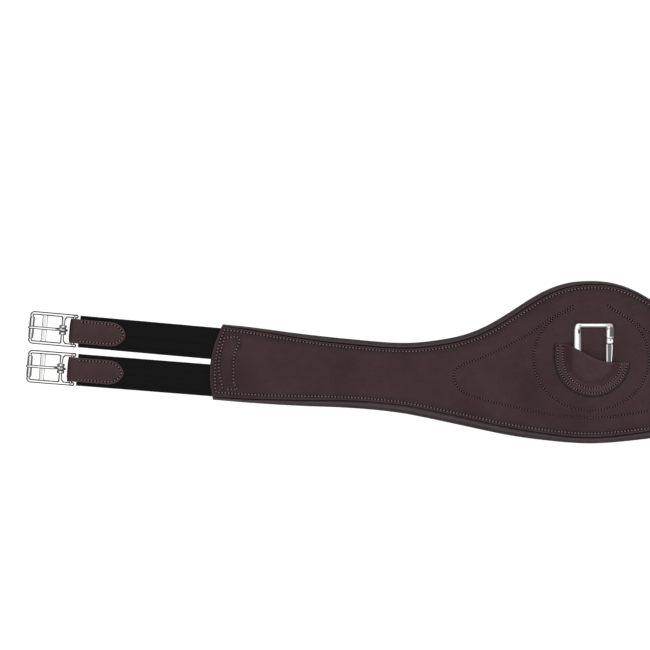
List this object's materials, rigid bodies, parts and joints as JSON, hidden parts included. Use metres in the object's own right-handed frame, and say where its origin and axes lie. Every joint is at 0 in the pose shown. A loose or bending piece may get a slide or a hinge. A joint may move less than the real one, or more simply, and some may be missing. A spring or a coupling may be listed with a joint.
{
  "type": "saddle girth",
  "caption": "Long padded leather saddle girth with a shaped belly guard, a snap hook in a belly pocket, and elastic straps ending in roller buckles.",
  "frame": {"origin": "middle of the belly, on the flat underside of the lining", "axes": "+X along the girth towards its right end, +Y to the horse's front edge, +Z out of the face leather"},
  "size_m": [1.2524, 0.1806, 0.0194],
  "materials": {
    "face_leather": "semi-gloss, lightly grained, dark brown",
    "lining_leather": "soft semi-gloss, dark brown",
    "foam": "closed-cell foam sheet",
    "webbing": "flat woven",
    "stiffener": "fibre board",
    "elastic": "ribbed woven elastic, black",
    "steel": "polished stainless"
  },
  "bodies": {
    "girth": {"lining_belly": "lining_leather", "foam_pad_belly": "foam", "web_belly": "webbing", "belly_stiffener": "stiffener", "face_belly": "face_leather", "snap_pocket": "face_leather", "snap_keeper": "face_leather"},
    "snap": {"snap_hook": "steel", "snap_gate_pin": "steel"},
    "gate": {"snap_gate": "steel", "snap_gate_spring": "steel"},
    "arm_left": {"lining_left_arm": "lining_leather", "foam_pad_left_arm": "foam", "web_left_arm": "webbing", "face_left_arm": "face_leather", "elastic_tail_left_front": "elastic", "elastic_tail_left_rear": "elastic"},
    "strap_left_front": {"elastic_left_front": "elastic"},
    "chape_left_front": {"chape_left_front": "face_leather"},
    "buckle_left_front": {"buckle_frame_left_front": "steel"},
    "tongue_left_front": {"tongue_left_front": "steel"},
    "roller_left_front": {"roller_left_front": "steel"},
    "strap_left_rear": {"elastic_left_rear": "elastic"},
    "chape_left_rear": {"chape_left_rear": "face_leather"},
    "buckle_left_rear": {"buckle_frame_left_rear": "steel"},
    "tongue_left_rear": {"tongue_left_rear": "steel"},
    "roller_left_rear": {"roller_left_rear": "steel"},
    "arm_right": {"lining_right_arm": "lining_leather", "foam_pad_right_arm": "foam", "web_right_arm": "webbing", "face_right_arm": "face_leather", "elastic_tail_right_front": "elastic", "elastic_tail_right_rear": "elastic"},
    "strap_right_front": {"elastic_right_front": "elastic"},
    "chape_right_front": {"chape_right_front": "face_leather"},
    "buckle_right_front": {"buckle_frame_right_front": "steel"},
    "tongue_right_front": {"tongue_right_front": "steel"},
    "roller_right_front": {"roller_right_front": "steel"},
    "strap_right_rear": {"elastic_right_rear": "elastic"},
    "chape_right_rear": {"chape_right_rear": "face_leather"},
    "buckle_right_rear": {"buckle_frame_right_rear": "steel"},
    "tongue_right_rear": {"tongue_right_rear": "steel"},
    "roller_right_rear": {"roller_right_rear": "steel"}
  },
  "joints": [
    {"name": "arm_left_flex", "type": "hinge", "parent": "girth", "child": "arm_left", "pos_m": [-0.215, 0, 0.0055], "axis": [0, 1, 0], "range_deg": [-40, 40]},
    {"name": "strap_left_front_flex", "type": "hinge", "parent": "arm_left", "child": "strap_left_front", "pos_m": [-0.42298, 0.0205, 0.0067], "axis": [0.0889, 0.996, 0], "range_deg": [-50, 50]},
    {"name": "elastic_left_front_stretch", "type": "slide", "parent": "strap_left_front", "child": "chape_left_front", "axis": [-0.996, 0.0889, 0], "range_m": [0, 0.045], "stiffness_N_per_m": 600},
    {"name": "buckle_left_front_swing", "type": "hinge", "parent": "chape_left_front", "child": "buckle_left_front", "pos_m": [-0.57338, 0.03392, 0.0067], "axis": [0.0889, 0.996, 0], "range_deg": [-35, 35]},
    {"name": "tongue_left_front_lift", "type": "hinge", "parent": "buckle_left_front", "child": "tongue_left_front", "pos_m": [-0.58534, 0.03499, 0.0067], "axis": [0.0889, 0.996, 0], "range_deg": [0, 105]},
    {"name": "roller_left_front_spin", "type": "hinge", "parent": "buckle_left_front", "child": "roller_left_front", "pos_m": [-0.6199, 0.03807, 0.0067], "axis": [0.0889, 0.996, 0], "continuous": true},
    {"name": "strap_left_rear_flex", "type": "hinge", "parent": "arm_left", "child": "strap_left_rear", "pos_m": [-0.42509, -0.02055, 0.0067], "axis": [0.0785, 0.9969, 0], "range_deg": [-50, 50]},
    {"name": "elastic_left_rear_stretch", "type": "slide", "parent": "strap_left_rear", "child": "chape_left_rear", "axis": [-0.9969, 0.0785, 0], "range_m": [0, 0.045], "stiffness_N_per_m": 600},
    {"name": "buckle_left_rear_swing", "type": "hinge", "parent": "chape_left_rear", "child": "buckle_left_rear", "pos_m": [-0.57562, -0.0087, 0.0067], "axis": [0.0785, 0.9969, 0], "range_deg": [-35, 35]},
    {"name": "tongue_left_rear_lift", "type": "hinge", "parent": "buckle_left_rear", "child": "tongue_left_rear", "pos_m": [-0.58758, -0.00776, 0.0067], "axis": [0.0785, 0.9969, 0], "range_deg": [0, 105]},
    {"name": "roller_left_rear_spin", "type": "hinge", "parent": "buckle_left_rear", "child": "roller_left_rear", "pos_m": [-0.62218, -0.00504, 0.0067], "axis": [0.0785, 0.9969, 0], "continuous": true},
    {"name": "arm_right_flex", "type": "hinge", "parent": "girth", "child": "arm_right", "pos_m": [0.215, 0, 0.0055], "axis": [0, -1, 0], "range_deg": [-40, 40]},
    {"name": "strap_right_front_flex", "type": "hinge", "parent": "arm_right", "child": "strap_right_front", "pos_m": [0.42298, 0.0205, 0.0067], "axis": [0.0889, -0.996, 0], "range_deg": [-50, 50]},
    {"name": "elastic_right_front_stretch", "type": "slide", "parent": "strap_right_front", "child": "chape_right_front", "axis": [0.996, 0.0889, 0], "range_m": [0, 0.045], "stiffness_N_per_m": 600},
    {"name": "buckle_right_front_swing", "type": "hinge", "parent": "chape_right_front", "child": "buckle_right_front", "pos_m": [0.57338, 0.03392, 0.0067], "axis": [0.0889, -0.996, 0], "range_deg": [-35, 35]},
    {"name": "tongue_right_front_lift", "type": "hinge", "parent": "buckle_right_front", "child": "tongue_right_front", "pos_m": [0.58534, 0.03499, 0.0067], "axis": [0.0889, -0.996, 0], "range_deg": [0, 105]},
    {"name": "roller_right_front_spin", "type": "hinge", "parent": "buckle_right_front", "child": "roller_right_front", "pos_m": [0.6199, 0.03807, 0.0067], "axis": [0.0889, -0.996, 0], "continuous": true},
    {"name": "strap_right_rear_flex", "type": "hinge", "parent": "arm_right", "child": "strap_right_rear", "pos_m": [0.42509, -0.02055, 0.0067], "axis": [0.0785, -0.9969, 0], "range_deg": [-50, 50]},
    {"name": "elastic_right_rear_stretch", "type": "slide", "parent": "strap_right_rear", "child": "chape_right_rear", "axis": [0.9969, 0.0785, 0], "range_m": [0, 0.045], "stiffness_N_per_m": 600},
    {"name": "buckle_right_rear_swing", "type": "hinge", "parent": "chape_right_rear", "child": "buckle_right_rear", "pos_m": [0.57562, -0.0087, 0.0067], "axis": [0.0785, -0.9969, 0], "range_deg": [-35, 35]},
    {"name": "tongue_right_rear_lift", "type": "hinge", "parent": "buckle_right_rear", "child": "tongue_right_rear", "pos_m": [0.58758, -0.00776, 0.0067], "axis": [0.0785, -0.9969, 0], "range_deg": [0, 105]},
    {"name": "roller_right_rear_spin", "type": "hinge", "parent": "buckle_right_rear", "child": "roller_right_rear", "pos_m": [0.62218, -0.00504, 0.0067], "axis": [0.0785, -0.9969, 0], "continuous": true},
    {"name": "snap_tilt", "type": "hinge", "parent": "girth", "child": "snap", "pos_m": [0, -0.0122, 0.0142], "axis": [1, 0, 0], "range_deg": [0, 20], "deforming": ["snap_pocket"]},
    {"name": "gate_open", "type": "hinge", "parent": "snap", "child": "gate", "pos_m": [0.0207, -0.0026, 0.0142], "axis": [0, 0, 1], "range_deg": [0, 28]}
  ]
}
